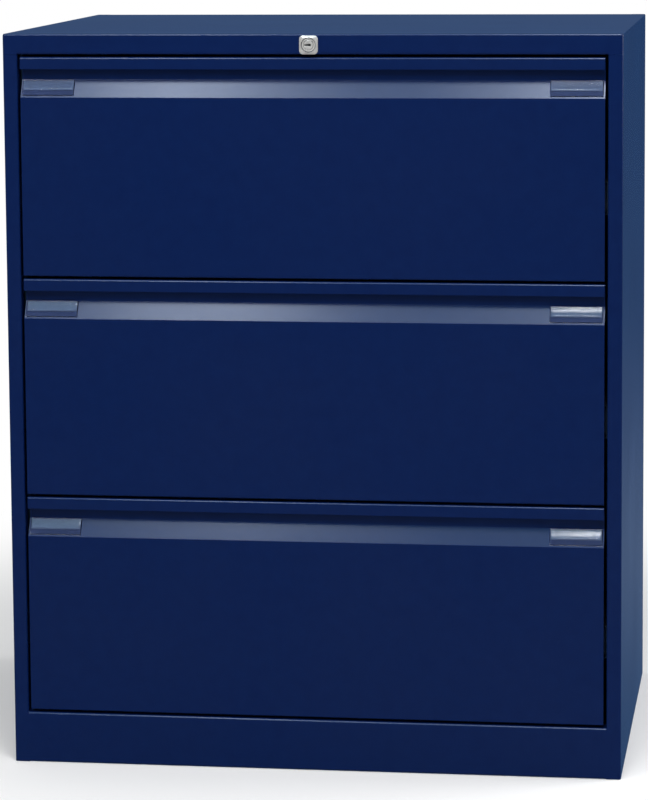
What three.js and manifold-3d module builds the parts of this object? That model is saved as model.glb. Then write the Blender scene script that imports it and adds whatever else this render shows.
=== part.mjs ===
// Three-drawer lateral filing cabinet, folded from sheet steel and painted.
// Millimetres; +Z is up, the drawers face -Y, and the origin lies on the floor under the middle of the case.

import * as THREE from 'three';
import { mergeVertices } from 'three/addons/utils/BufferGeometryUtils.js';
import Module from 'manifold-3d';

const wasm = await Module();
wasm.setup();

// Overall size
const CASE_WIDTH = 845;
const CASE_DEPTH = 622;
const CASE_HEIGHT = 1016;

// Sheet steel: thickness, and the inside radius of a fold
const CASE_SHEET = 1;
const CASE_BEND = 2;
const DRAWER_SHEET = 0.9;
const DRAWER_BEND = 1.6;
const POST_SHEET = 1.2;
const RUNNER_SHEET = 1.2;
const LOCK_SHEET = 1.5;
const FOLD_STEPS = 3;

// Clearances: pieces that touch, and pieces that slide or turn in each other
const SEAT = 0.3;
const RUNNING = 0.5;

// Front frame
const STILE_WIDTH = 20;
const STILE_RETURN = 22;
const STILE_LIP = 8;
const HEADER_HEIGHT = 28;
const HEADER_RETURN = 14;
const PLINTH_HEIGHT = 71;
const PLINTH_RETURN = 24;
const PLINTH_LIP = 10;
const PLINTH_FOOT = 18;

// Flanges of the case panels
const REAR_FLANGE = 15;
const FOOT_FLANGE = 16;
const BACK_FLANGE = 12;
const BASE_TOP = 32;
const BASE_FLANGE = 20;

// Drawer fronts
const DRAWER_COUNT = 3;
const DRAWER_GAP = 3.5;
const SIDE_GAP = 4;
const FRONT_DEPTH = 15;
const LIP_HEIGHT = 17;
const LIP_HEM = 9;
const HEM_GAP = 0.4;
const SLANT_DROP = 55.5;
const SLANT_RISE = 24;
const SLANT_BEND = 2.5;

// Label holders on the slant of the recess
const LABEL_WIDTH = 72;
const LABEL_HEIGHT = 24;
const LABEL_THICKNESS = 4.6;
const LABEL_EDGE = 1.6;
const LABEL_BEVEL = 3.5;
const LABEL_BACK = 1;
const LABEL_SLOT = 0.8;
const LABEL_END_GAP = 2;
const LABEL_FOOT_GAP = 2.5;

// Drawer bodies
const LOCK_SPACE = 47.7;
const BODY_FLOOR = 8;
const FILE_SPAN = 330;
const RAIL_DROP = 33;
const RAIL_RISE = 12;
const CENTRE_RAIL_WIDTH = 46;
const CENTRE_RAIL_DEPTH = 18;

// Telescopic runners: three nested channels with a ball race between each two
const RUNNER_MARGIN = 16;
const RUNNER_HEIGHT = 45;
const RUNNER_THICKNESS = 12.6;
const RUNNER_CENTRE = 110;
const RUNNER_GAP = 4;
const STILE_CLEARANCE = 1.2;
const BALL_RACE = 3.3;
const WEB_GAP = 1.4;
const LIP_GAP = 1.6;
const RUNNER_HOLE_RADIUS = 3;

// Runner posts
const POST_FACE = 30;
const POST_FLANGE = 10;
const REAR_POST_INSET = 1;
const POST_SLOT_WIDTH = 6;
const POST_SLOT_HEIGHT = 12;

// Lock
const LOCK_DROP = 15;
const BEZEL_SIZE = 25.5;
const BEZEL_RADIUS = 5;
const BEZEL_THICKNESS = 4;
const BEZEL_EDGE = 1;
const BARREL_RADIUS = 9.5;
const BARREL_LENGTH = 22;
const RIM_RECESS = 1;
const PLUG_RADIUS = 6.5;
const KEYWAY_WIDTH = 9;
const KEYWAY_HEIGHT = 2.2;
const KEYWAY_DEPTH = 12;
const NUT_WALL = 1.3;
const NUT_THICKNESS = 4;
const ROD_RADIUS = 3.5;
const BRACKET_WIDTH = 30;
const BRACKET_FOOT = 22;

// Lock bar, lifted by a crank that swings evenly about the level
const BAR_LIFT = 12;
const BAR_WIDTH = 30;
const BAR_BOTTOM = 120;
const CRANK_SWING = Math.PI / 2;
const CRANK_THICKNESS = 5;
const HUB_RADIUS = 6.5;
const PIN_RADIUS = 2.5;
const GUIDE_HEIGHT = 24;
const GUIDE_FLANGE = 12;
const FINGER_WIDTH = 12;
const FINGER_THICKNESS = 2;
const FINGER_REST_GAP = 3;

// Catch on the back of each drawer
const CATCH_DROP = 81;
const CATCH_PLATE = 26;
const CATCH_WIDTH = 24;
const CATCH_REACH = 16;
const CATCH_LIP = 14;
const CATCH_TO_BAR = 10;

// Levelling feet
const FOOT_INSET = 37.5;
const FOOT_SETBACK = 55;
const FOOT_RADIUS = 14;
const FOOT_HEIGHT = 8;
const FOOT_LIFT = 1;
const STUD_RADIUS = 4;
const STUD_TOP = 60;
const WELD_NUT_RADIUS = 8;
const WELD_NUT_HEIGHT = 6;

// Sizes that follow
const HALF_WIDTH = CASE_WIDTH / 2;
const FRONT = -CASE_DEPTH / 2;
const BACK = CASE_DEPTH / 2;
const WALL_FACE = HALF_WIDTH - CASE_SHEET - SEAT;
const UNDER_TOP = CASE_HEIGHT - CASE_SHEET - SEAT;
const BACK_FACE = BACK - CASE_SHEET - SEAT;
const HEADER_BOTTOM = CASE_HEIGHT - HEADER_HEIGHT;
const STILE_EDGE = HALF_WIDTH - STILE_WIDTH;
const DRAWER_PITCH = (HEADER_BOTTOM - PLINTH_HEIGHT - DRAWER_GAP) / DRAWER_COUNT;
const FRONT_HEIGHT = DRAWER_PITCH - DRAWER_GAP;
const FRONT_HALF = STILE_EDGE - SIDE_GAP;
const GRIP_DEPTH = FRONT_DEPTH - DRAWER_SHEET;
const SLANT_BOTTOM = FRONT_HEIGHT - SLANT_DROP;
const SLANT_ANGLE = Math.atan2(GRIP_DEPTH, SLANT_RISE);
const RUNNER_FACE = STILE_EDGE - STILE_CLEARANCE;
const BODY_HALF = RUNNER_FACE - RUNNER_THICKNESS - SEAT;
const BODY_START = FRONT_DEPTH + SEAT;
const BODY_END = CASE_DEPTH - LOCK_SPACE;
const RAIL_TOP = FRONT_HEIGHT - RAIL_DROP;
const RAIL_FLANGE = RAIL_TOP - RAIL_RISE;
const SIDE_RAIL = CENTRE_RAIL_WIDTH / 2 + FILE_SPAN;
const FRONT_POST = FRONT + STILE_RETURN + CASE_SHEET + POST_FLANGE + RUNNING;
const RUNNER_SETBACK = STILE_RETURN + CASE_SHEET + RUNNER_GAP;
const RUNNER_LENGTH = BODY_END - BODY_START - RUNNER_MARGIN;
const REAR_POST = FRONT + RUNNER_SETBACK + RUNNER_LENGTH - POST_FACE - REAR_POST_INSET;
const LOCK_HEIGHT = CASE_HEIGHT - LOCK_DROP;
const PLUG_END = FRONT + BARREL_LENGTH + CRANK_THICKNESS;
const NUT_RADIUS = BARREL_RADIUS + NUT_WALL;
const CATCH_TOP = FRONT_HEIGHT - CATCH_DROP;
const CATCH_FACE = BODY_END + SEAT;
const BAR_FACE = FRONT + CATCH_FACE + CATCH_REACH + CATCH_TO_BAR;
const BAR_BACK = BACK_FACE - CASE_SHEET - RUNNING;
const CRANK_RADIUS = BAR_LIFT / 2 / Math.sin(CRANK_SWING / 2);
const CRANK_BACK = BAR_FACE - LOCK_SHEET;
const CRANK_FRONT = CRANK_BACK - CRANK_THICKNESS;
const BAR_CENTRE = CRANK_RADIUS * (1 + Math.cos(CRANK_SWING / 2)) / 2;
const PIN_REST = LOCK_HEIGHT - BAR_LIFT / 2;
const BAR_TOP = PIN_REST + PIN_RADIUS + RUNNING + LOCK_SHEET * 2;
const FOOT_X = HALF_WIDTH - FOOT_INSET;
const FOOT_Y = BACK - FOOT_SETBACK;

const paint = () => new THREE.MeshStandardMaterial({ color: 0x0f204c, roughness: 0.38, metalness: 0 });
const zinc = () => new THREE.MeshStandardMaterial({ color: 0xb9bdc1, roughness: 0.35, metalness: 1 });
const chrome = () => new THREE.MeshStandardMaterial({ color: 0xd8dadc, roughness: 0.12, metalness: 1 });
const clear = () => new THREE.MeshStandardMaterial({ color: 0x9fb0c8, roughness: 0.1, metalness: 0 });
const nylon = () => new THREE.MeshStandardMaterial({ color: 0x17181a, roughness: 0.55, metalness: 0 });

const DRAWN_IN = {
  x: [new THREE.Vector3(0, 1, 0), new THREE.Vector3(0, 0, 1), new THREE.Vector3(1, 0, 0)],
  y: [new THREE.Vector3(1, 0, 0), new THREE.Vector3(0, 0, 1), new THREE.Vector3(0, -1, 0)],
  z: [new THREE.Vector3(1, 0, 0), new THREE.Vector3(0, 1, 0), new THREE.Vector3(0, 0, 1)],
};

// Closed solid of a geometry.
function solidOf(geometry) {
  const bare = geometry.clone();
  bare.deleteAttribute('normal');
  bare.deleteAttribute('uv');
  const merged = mergeVertices(bare);
  const vertProperties = merged.attributes.position.array;
  const triVerts = new Uint32Array(merged.index.array);
  return new wasm.Manifold(new wasm.Mesh({ numProp: 3, vertProperties, triVerts }));
}

// Named mesh of a solid.
function piece(name, solid, material) {
  const { vertProperties, triVerts } = solid.getMesh();
  const geometry = new THREE.BufferGeometry();
  geometry.setAttribute('position', new THREE.BufferAttribute(new Float32Array(vertProperties), 3));
  geometry.setIndex(new THREE.BufferAttribute(new Uint32Array(triVerts), 1));
  geometry.computeVertexNormals();
  const mesh = new THREE.Mesh(geometry, material);
  mesh.name = name;
  return mesh;
}

// The geometry of a piece for the right-hand side, turned over for the left.
function onSide(mesh, side) {
  mesh.scale.x = side;
  return mesh;
}

// Shape carried along an axis; it is drawn in the other two axes, in the order x, y, z.
function extrude(shape, axis, from, to, options = { bevelEnabled: false, curveSegments: FOLD_STEPS }) {
  const geometry = new THREE.ExtrudeGeometry(shape, { depth: to - from, ...options });
  geometry.applyMatrix4(new THREE.Matrix4().makeBasis(...DRAWN_IN[axis]));
  geometry.translate(axis === 'x' ? from : 0, axis === 'y' ? to : 0, axis === 'z' ? from : 0);
  return solidOf(geometry);
}

// Block between two corners.
function block(x0, x1, y0, y1, z0, z1) {
  const geometry = new THREE.BoxGeometry(x1 - x0, y1 - y0, z1 - z0);
  geometry.translate((x0 + x1) / 2, (y0 + y1) / 2, (z0 + z1) / 2);
  return solidOf(geometry);
}

// Round or many-sided bar along an axis, through the point (u, v) in the other two axes.
function bar(axis, u, v, radius, from, to, sides = 16) {
  const shape = new THREE.Shape();
  for (let i = 0; i < sides; i += 1) {
    const angle = (i + 0.5) * 2 * Math.PI / sides;
    const corner = [u + radius * Math.cos(angle), v + radius * Math.sin(angle)];
    if (i === 0) shape.moveTo(...corner);
    else shape.lineTo(...corner);
  }
  return extrude(shape, axis, from, to);
}

// Section of a folded sheet. The line runs in the middle of the metal through corners [u, v] or
// [u, v, inside radius]; each corner becomes an arc, and the faces lie half a thickness to each side.
function foldedSheet(line, thickness, bend) {
  const half = thickness / 2;
  const leftOf = (along) => new THREE.Vector2(-along.y, along.x);
  const corners = line.map(([u, v]) => new THREE.Vector2(u, v));
  const stations = [];
  corners.forEach((corner, i) => {
    const before = corners[i - 1];
    const after = corners[i + 1];
    if (!before || !after) {
      const along = before ? corner.clone().sub(before) : after.clone().sub(corner);
      stations.push({ point: corner, normal: leftOf(along.normalize()) });
      return;
    }
    const into = corner.clone().sub(before).normalize();
    const outOf = after.clone().sub(corner).normalize();
    const turn = Math.atan2(into.cross(outOf), into.dot(outOf));
    const radius = ((line[i][2] ?? bend) + half) * Math.sign(turn);
    const start = corner.clone().addScaledVector(into, -radius * Math.tan(turn / 2));
    const centre = start.clone().addScaledVector(leftOf(into), radius);
    for (let k = 0; k <= FOLD_STEPS; k += 1) {
      const normal = leftOf(into).rotateAround(new THREE.Vector2(), turn * k / FOLD_STEPS);
      stations.push({ point: centre.clone().addScaledVector(normal, -radius), normal });
    }
  });
  const left = stations.map(({ point, normal }) => point.clone().addScaledVector(normal, half));
  const right = stations.map(({ point, normal }) => point.clone().addScaledVector(normal, -half));
  return new THREE.Shape([...left, ...right.reverse()]);
}

// Rectangle with rounded corners.
function roundedRect(u0, v0, u1, v1, radius) {
  const shape = new THREE.Shape();
  shape.absarc(u1 - radius, v0 + radius, radius, -Math.PI / 2, 0);
  shape.absarc(u1 - radius, v1 - radius, radius, 0, Math.PI / 2);
  shape.absarc(u0 + radius, v1 - radius, radius, Math.PI / 2, Math.PI);
  shape.absarc(u0 + radius, v0 + radius, radius, Math.PI, Math.PI * 3 / 2);
  return shape;
}

// Bottom edge of drawer number k, counted from the top, above the floor.
function drawerBottom(k) {
  return PLINTH_HEIGHT + DRAWER_GAP + (DRAWER_COUNT - 1 - k) * DRAWER_PITCH;
}

// Top sheet with the header folded down at the front and a flange at the rear. Its plan is rounded to
// the vertical folds of the case, and the side panels stand under its ends. Behind the header there is
// room for the lock's nut.
function topPanel() {
  const mid = CASE_SHEET / 2;
  const section = foldedSheet([
    [FRONT + HEADER_RETURN, HEADER_BOTTOM + mid],
    [FRONT + mid, HEADER_BOTTOM + mid],
    [FRONT + mid, CASE_HEIGHT - mid],
    [BACK - mid, CASE_HEIGHT - mid],
    [BACK - mid, CASE_HEIGHT - REAR_FLANGE],
  ], CASE_SHEET, CASE_BEND);
  const plan = roundedRect(-HALF_WIDTH, FRONT, HALF_WIDTH, BACK, CASE_BEND + CASE_SHEET);
  let panel = extrude(section, 'x', -HALF_WIDTH, HALF_WIDTH);
  panel = panel.intersect(extrude(plan, 'z', HEADER_BOTTOM - 1, CASE_HEIGHT + 1));
  const inner = CASE_HEIGHT - CASE_SHEET;
  for (const side of [-1, 1]) {
    const ends = [side * WALL_FACE, side * CASE_WIDTH].sort((a, b) => a - b);
    const tails = [side * (HALF_WIDTH - REAR_FLANGE - SEAT), side * CASE_WIDTH].sort((a, b) => a - b);
    panel = panel.subtract(block(...ends, FRONT + CASE_SHEET, CASE_DEPTH, 0, inner));
    panel = panel.subtract(block(...tails, BACK_FACE - CASE_BEND, CASE_DEPTH, 0, inner));
  }
  const behind = FRONT + CASE_SHEET;
  return panel
    .subtract(bar('y', 0, LOCK_HEIGHT, BARREL_RADIUS + SEAT, FRONT - CASE_SHEET, behind + CASE_SHEET, 24))
    .subtract(bar('y', 0, LOCK_HEIGHT, NUT_RADIUS + RUNNING, behind, FRONT + HEADER_RETURN + 1, 24));
}

// Right side panel: rear flange, side wall, stile, stile return and stiffening lip in one folding, with
// foot and top flanges turned in. The stile stops under the header; the wall goes on up behind it.
function sidePanel() {
  const mid = CASE_SHEET / 2;
  const section = foldedSheet([
    [HALF_WIDTH - REAR_FLANGE, BACK - mid],
    [HALF_WIDTH - mid, BACK - mid],
    [HALF_WIDTH - mid, FRONT + mid],
    [STILE_EDGE + mid, FRONT + mid],
    [STILE_EDGE + mid, FRONT + STILE_RETURN],
    [STILE_EDGE + STILE_LIP, FRONT + STILE_RETURN],
  ], CASE_SHEET, CASE_BEND);
  const stileTop = HEADER_BOTTOM - SEAT;
  const stileBack = FRONT + STILE_RETURN + CASE_SHEET;
  const wallInside = HALF_WIDTH - CASE_SHEET;
  const flangeEnds = [stileBack + FOOT_FLANGE, BACK - FOOT_FLANGE];
  const flange = [HALF_WIDTH - FOOT_FLANGE, HALF_WIDTH - mid, ...flangeEnds];
  return extrude(section, 'z', 0, UNDER_TOP)
    .subtract(block(0, wallInside, FRONT - 1, stileBack, stileTop, CASE_HEIGHT))
    .subtract(block(0, CASE_WIDTH, FRONT - 1, FRONT + CASE_SHEET + SEAT, stileTop, CASE_HEIGHT))
    .add(block(...flange, 0, CASE_SHEET))
    .add(block(...flange, UNDER_TOP - CASE_SHEET, UNDER_TOP));
}

// Plinth between the stiles, with a shelf folded back at the top and a foot flange at the floor.
function plinth() {
  const mid = CASE_SHEET / 2;
  const section = foldedSheet([
    [FRONT + PLINTH_RETURN - mid, PLINTH_HEIGHT - PLINTH_LIP],
    [FRONT + PLINTH_RETURN - mid, PLINTH_HEIGHT - mid],
    [FRONT + mid, PLINTH_HEIGHT - mid],
    [FRONT + mid, mid],
    [FRONT + PLINTH_FOOT, mid],
  ], CASE_SHEET, CASE_BEND);
  return extrude(section, 'x', -STILE_EDGE + SEAT, STILE_EDGE - SEAT);
}

// Back panel behind which the rear flanges of the sides lie, flanged forward at top and bottom.
function backPanel() {
  const mid = CASE_SHEET / 2;
  const section = foldedSheet([
    [BACK_FACE - BACK_FLANGE, BASE_TOP + SEAT + mid],
    [BACK_FACE - mid, BASE_TOP + SEAT + mid],
    [BACK_FACE - mid, UNDER_TOP - mid],
    [BACK_FACE - BACK_FLANGE, UNDER_TOP - mid],
  ], CASE_SHEET, CASE_BEND);
  const edge = WALL_FACE - CASE_BEND;
  return extrude(section, 'x', -edge, edge);
}

// Base pan with its side flanges turned down and a weld nut under it at each levelling foot.
function basePan() {
  const mid = CASE_SHEET / 2;
  const section = foldedSheet([
    [-WALL_FACE + mid, BASE_TOP - BASE_FLANGE],
    [-WALL_FACE + mid, BASE_TOP - mid],
    [WALL_FACE - mid, BASE_TOP - mid],
    [WALL_FACE - mid, BASE_TOP - BASE_FLANGE],
  ], CASE_SHEET, CASE_BEND);
  let pan = extrude(section, 'y', FRONT + PLINTH_RETURN + SEAT, BACK_FACE - CASE_BEND);
  const nutBottom = BASE_TOP - CASE_SHEET - WELD_NUT_HEIGHT;
  for (const x of [-FOOT_X, FOOT_X]) {
    for (const y of [-FOOT_Y, FOOT_Y]) {
      pan = pan.add(bar('z', x, y, WELD_NUT_RADIUS, nutBottom, BASE_TOP - mid, 6));
      pan = pan.subtract(bar('z', x, y, STUD_RADIUS + RUNNING, nutBottom - 1, BASE_TOP + 1));
    }
  }
  return pan;
}

// Right runner post: a hat section on the side wall, slotted at each runner, its face at `start`.
function runnerPost(start) {
  const mid = POST_SHEET / 2;
  const face = RUNNER_FACE + SEAT;
  const end = start + POST_FACE;
  const section = foldedSheet([
    [WALL_FACE - mid, start - POST_FLANGE],
    [WALL_FACE - mid, start + mid],
    [face + mid, start + mid],
    [face + mid, end - mid],
    [WALL_FACE - mid, end - mid],
    [WALL_FACE - mid, end + POST_FLANGE],
  ], POST_SHEET, CASE_BEND);
  let post = extrude(section, 'z', BASE_TOP + SEAT, HEADER_BOTTOM);
  const middle = start + POST_FACE / 2;
  const slotEnds = [middle - POST_SLOT_WIDTH / 2, middle + POST_SLOT_WIDTH / 2];
  for (let k = 0; k < DRAWER_COUNT; k += 1) {
    for (const row of [-1, 1]) {
      const z = drawerBottom(k) + RUNNER_CENTRE + row * POST_SLOT_HEIGHT;
      const slot = [z - POST_SLOT_HEIGHT / 2, z + POST_SLOT_HEIGHT / 2];
      post = post.subtract(block(face - 1, face + POST_SHEET + 1, ...slotEnds, ...slot));
    }
  }
  return post;
}

// One channel of the right runner: web at x = `web`, flanges reaching to x = `reach`, both measured inward
// from the runner's back, with screw holes at `holes` along its length.
function runnerChannel(web, reach, height, start, end, holes) {
  const mid = RUNNER_SHEET / 2;
  const inward = Math.sign(reach - web);
  const webLine = -(web + inward * mid);
  const edge = height / 2 - mid;
  const section = foldedSheet([
    [-reach, edge],
    [webLine, edge],
    [webLine, -edge],
    [-reach, -edge],
  ], RUNNER_SHEET, RUNNER_SHEET / 2);
  let channel = extrude(section, 'y', start, end);
  for (const y of holes) {
    channel = channel.subtract(bar('x', y, 0, RUNNER_HOLE_RADIUS, -RUNNER_THICKNESS - 1, 1, 10));
  }
  return channel;
}

const RUNNER_HOLES = [RUNNER_LENGTH * 0.08, RUNNER_LENGTH * 0.5, RUNNER_LENGTH * 0.92];
const MIDDLE_HEIGHT = RUNNER_HEIGHT - 2 * RUNNER_SHEET - 2 * BALL_RACE;
const INNER_HEIGHT = MIDDLE_HEIGHT - 2 * RUNNER_SHEET - 2 * BALL_RACE;
const MIDDLE_WEB = RUNNER_SHEET + WEB_GAP;
const INNER_REACH = MIDDLE_WEB + RUNNER_SHEET + WEB_GAP;

// Channel screwed to the posts.
function cabinetChannel() {
  return runnerChannel(0, RUNNER_THICKNESS - LIP_GAP, RUNNER_HEIGHT, 0, RUNNER_LENGTH, RUNNER_HOLES);
}

// Channel between the other two, with holes through which the outer one is screwed down.
function middleChannel() {
  const reach = RUNNER_THICKNESS - LIP_GAP - RUNNER_SHEET / 2;
  return runnerChannel(MIDDLE_WEB, reach, MIDDLE_HEIGHT, 5, RUNNER_LENGTH - 5, RUNNER_HOLES);
}

// Channel screwed to the drawer, open towards the cabinet.
function drawerChannel() {
  return runnerChannel(RUNNER_THICKNESS, INNER_REACH, INNER_HEIGHT, 0, RUNNER_LENGTH, RUNNER_HOLES);
}

// Drawer front, drawn from its own bottom edge and front face. One strip is folded into the bottom flange,
// the front, the slant, the back wall of the finger recess, its roof, and the lip with a hem; plates close
// its ends behind the slant.
function drawerFront() {
  const mid = DRAWER_SHEET / 2;
  const hem = DRAWER_SHEET + HEM_GAP;
  const lipBottom = FRONT_HEIGHT - LIP_HEIGHT + mid;
  const slantTop = SLANT_BOTTOM + SLANT_RISE;
  const section = foldedSheet([
    [FRONT_DEPTH, mid],
    [mid, mid],
    [mid, SLANT_BOTTOM],
    [GRIP_DEPTH + mid, slantTop, SLANT_BEND],
    [GRIP_DEPTH + mid, FRONT_HEIGHT - mid],
    [mid, FRONT_HEIGHT - mid],
    [mid, lipBottom, HEM_GAP / 2],
    [mid + hem, lipBottom, HEM_GAP / 2],
    [mid + hem, lipBottom + LIP_HEM],
  ], DRAWER_SHEET, DRAWER_BEND);
  const end = new THREE.Shape([
    new THREE.Vector2(mid, mid),
    new THREE.Vector2(FRONT_DEPTH, mid),
    new THREE.Vector2(FRONT_DEPTH, slantTop),
    new THREE.Vector2(GRIP_DEPTH + mid, slantTop),
    new THREE.Vector2(mid, SLANT_BOTTOM),
  ]);
  return extrude(section, 'x', -FRONT_HALF, FRONT_HALF)
    .add(extrude(end, 'x', -FRONT_HALF, -FRONT_HALF + DRAWER_SHEET))
    .add(extrude(end, 'x', FRONT_HALF - DRAWER_SHEET, FRONT_HALF));
}

// Drawer body: floor and sides in one folding, the tops of the sides turned in and up as file rails, with a
// plate at each end.
function drawerBody() {
  const mid = DRAWER_SHEET / 2;
  const section = foldedSheet([
    [-SIDE_RAIL - mid, RAIL_TOP],
    [-SIDE_RAIL - mid, RAIL_FLANGE + mid],
    [-BODY_HALF + mid, RAIL_FLANGE + mid],
    [-BODY_HALF + mid, BODY_FLOOR + mid],
    [BODY_HALF - mid, BODY_FLOOR + mid],
    [BODY_HALF - mid, RAIL_FLANGE + mid],
    [SIDE_RAIL + mid, RAIL_FLANGE + mid],
    [SIDE_RAIL + mid, RAIL_TOP],
  ], DRAWER_SHEET, DRAWER_BEND);
  const half = BODY_HALF - mid;
  const plate = roundedRect(-half, BODY_FLOOR + mid, half, RAIL_FLANGE + mid, DRAWER_BEND + mid);
  return extrude(section, 'y', BODY_START + mid, BODY_END - mid)
    .add(extrude(plate, 'y', BODY_START, BODY_START + DRAWER_SHEET))
    .add(extrude(plate, 'y', BODY_END - DRAWER_SHEET, BODY_END));
}

// File rail down the middle of the drawer, between its end plates.
function centreRail() {
  const mid = DRAWER_SHEET / 2;
  const edge = CENTRE_RAIL_WIDTH / 2 - mid;
  const web = RAIL_TOP - CENTRE_RAIL_DEPTH + mid;
  const section = foldedSheet([
    [-edge, RAIL_TOP],
    [-edge, web],
    [edge, web],
    [edge, RAIL_TOP],
  ], DRAWER_SHEET, DRAWER_BEND);
  const inset = DRAWER_SHEET + SEAT;
  return extrude(section, 'y', BODY_START + inset, BODY_END - inset);
}

// Clear label holder, drawn flat: the slant lies behind it at y = 0 and z runs up the slant. Its face comes
// to a ridge and is bevelled at the ends, and a slot for the card runs through it from end to end.
function labelHolder() {
  const half = LABEL_WIDTH / 2;
  const ridge = LABEL_HEIGHT * 0.38;
  const shape = new THREE.Shape([
    new THREE.Vector2(0, 0),
    new THREE.Vector2(0, LABEL_HEIGHT),
    new THREE.Vector2(-LABEL_EDGE - LABEL_SLOT, LABEL_HEIGHT),
    new THREE.Vector2(-LABEL_THICKNESS, ridge + LABEL_EDGE),
    new THREE.Vector2(-LABEL_THICKNESS, ridge - LABEL_EDGE),
    new THREE.Vector2(-LABEL_EDGE, 0),
  ]);
  const slot = new THREE.Path([
    new THREE.Vector2(-LABEL_BACK, LABEL_EDGE * 2),
    new THREE.Vector2(-LABEL_BACK - LABEL_SLOT, LABEL_EDGE * 2),
    new THREE.Vector2(-LABEL_BACK - LABEL_SLOT, LABEL_HEIGHT - LABEL_EDGE),
    new THREE.Vector2(-LABEL_BACK, LABEL_HEIGHT - LABEL_EDGE),
  ]);
  shape.holes.push(slot);
  const plan = new THREE.Shape([
    new THREE.Vector2(-half, 1),
    new THREE.Vector2(-half, -LABEL_EDGE),
    new THREE.Vector2(-half + LABEL_BEVEL, -LABEL_THICKNESS),
    new THREE.Vector2(half - LABEL_BEVEL, -LABEL_THICKNESS),
    new THREE.Vector2(half, -LABEL_EDGE),
    new THREE.Vector2(half, 1),
  ]);
  return extrude(shape, 'x', -half, half).intersect(extrude(plan, 'z', -1, LABEL_HEIGHT + 1));
}

// Catch on the drawer's back: a plate, a shelf and a lip turned down in front of which the finger rises.
function lockCatch() {
  const mid = LOCK_SHEET / 2;
  const lip = CATCH_FACE + CATCH_REACH - mid;
  const section = foldedSheet([
    [CATCH_FACE + mid, CATCH_TOP - CATCH_PLATE],
    [CATCH_FACE + mid, CATCH_TOP - mid],
    [lip, CATCH_TOP - mid],
    [lip, CATCH_TOP - CATCH_LIP],
  ], LOCK_SHEET, LOCK_SHEET);
  return extrude(section, 'x', BAR_CENTRE - CATCH_WIDTH / 2, BAR_CENTRE + CATCH_WIDTH / 2);
}

// Square bezel with rounded corners and a softened front, round the lock's barrel.
function lockBezel() {
  const half = BEZEL_SIZE / 2;
  const shape = roundedRect(-half, LOCK_HEIGHT - half, half, LOCK_HEIGHT + half, BEZEL_RADIUS);
  const face = FRONT - SEAT - BEZEL_THICKNESS;
  const softened = {
    bevelSize: BEZEL_EDGE,
    bevelThickness: BEZEL_EDGE,
    bevelOffset: -BEZEL_EDGE,
    bevelSegments: 2,
    curveSegments: 6,
  };
  return extrude(shape, 'y', face + BEZEL_EDGE, FRONT - SEAT - BEZEL_EDGE, softened)
    .subtract(bar('y', 0, LOCK_HEIGHT, BARREL_RADIUS + SEAT, face - 1, FRONT, 24));
}

// Barrel through the header, its rim inside the bezel.
function lockBarrel() {
  const rim = FRONT - SEAT - BEZEL_THICKNESS + RIM_RECESS;
  return bar('y', 0, LOCK_HEIGHT, BARREL_RADIUS - SEAT, rim, FRONT + BARREL_LENGTH, 24)
    .subtract(bar('y', 0, LOCK_HEIGHT, PLUG_RADIUS + RUNNING, rim - 1, FRONT + BARREL_LENGTH + 1, 24));
}

// Ring nut that draws the barrel up behind the header.
function lockNut() {
  const start = FRONT + CASE_SHEET + SEAT;
  return bar('y', 0, LOCK_HEIGHT, NUT_RADIUS, start, start + NUT_THICKNESS, 24)
    .subtract(bar('y', 0, LOCK_HEIGHT, BARREL_RADIUS, start - 1, start + NUT_THICKNESS + 1, 24));
}

// Key plug with its keyway lying level, the deep part to the left of the middle.
function lockPlug() {
  const face = FRONT - SEAT - BEZEL_THICKNESS + RIM_RECESS / 2;
  const right = KEYWAY_WIDTH * 0.45;
  const slot = [LOCK_HEIGHT - KEYWAY_HEIGHT / 2, LOCK_HEIGHT + KEYWAY_HEIGHT / 2];
  return bar('y', 0, LOCK_HEIGHT, PLUG_RADIUS, face, PLUG_END, 24)
    .subtract(block(right - KEYWAY_WIDTH, right, face - 1, face + KEYWAY_DEPTH, ...slot));
}

// Rod from the plug to the back of the case, with a crank whose pin starts below the level of the rod.
function lockRod() {
  const angle = -CRANK_SWING / 2;
  const pin = [CRANK_RADIUS * Math.cos(angle), LOCK_HEIGHT + CRANK_RADIUS * Math.sin(angle)];
  const arm = new THREE.Shape();
  arm.absarc(0, LOCK_HEIGHT, HUB_RADIUS, angle + Math.PI / 2, angle + Math.PI * 3 / 2);
  arm.absarc(...pin, PIN_RADIUS + 1, angle - Math.PI / 2, angle + Math.PI / 2);
  return bar('y', 0, LOCK_HEIGHT, ROD_RADIUS, PLUG_END + SEAT, CRANK_BACK - 1)
    .add(extrude(arm, 'y', CRANK_FRONT, CRANK_BACK, { bevelEnabled: false, curveSegments: 6 }))
    .add(bar('y', ...pin, PIN_RADIUS, CRANK_FRONT + 1, BAR_FACE + LOCK_SHEET * 3, 12));
}

// Bracket that hangs from the top panel and carries the rod's back end.
function rodBracket() {
  const mid = LOCK_SHEET / 2;
  const plate = CRANK_FRONT - BRACKET_FOOT / 2;
  const section = foldedSheet([
    [plate - BRACKET_FOOT, UNDER_TOP - mid],
    [plate - mid, UNDER_TOP - mid],
    [plate - mid, LOCK_HEIGHT - HUB_RADIUS - PIN_RADIUS],
  ], LOCK_SHEET, LOCK_SHEET);
  return extrude(section, 'x', -BRACKET_WIDTH / 2, BRACKET_WIDTH / 2)
    .subtract(bar('y', 0, LOCK_HEIGHT, ROD_RADIUS + RUNNING, plate - LOCK_SHEET - 1, plate + 1));
}

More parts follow.
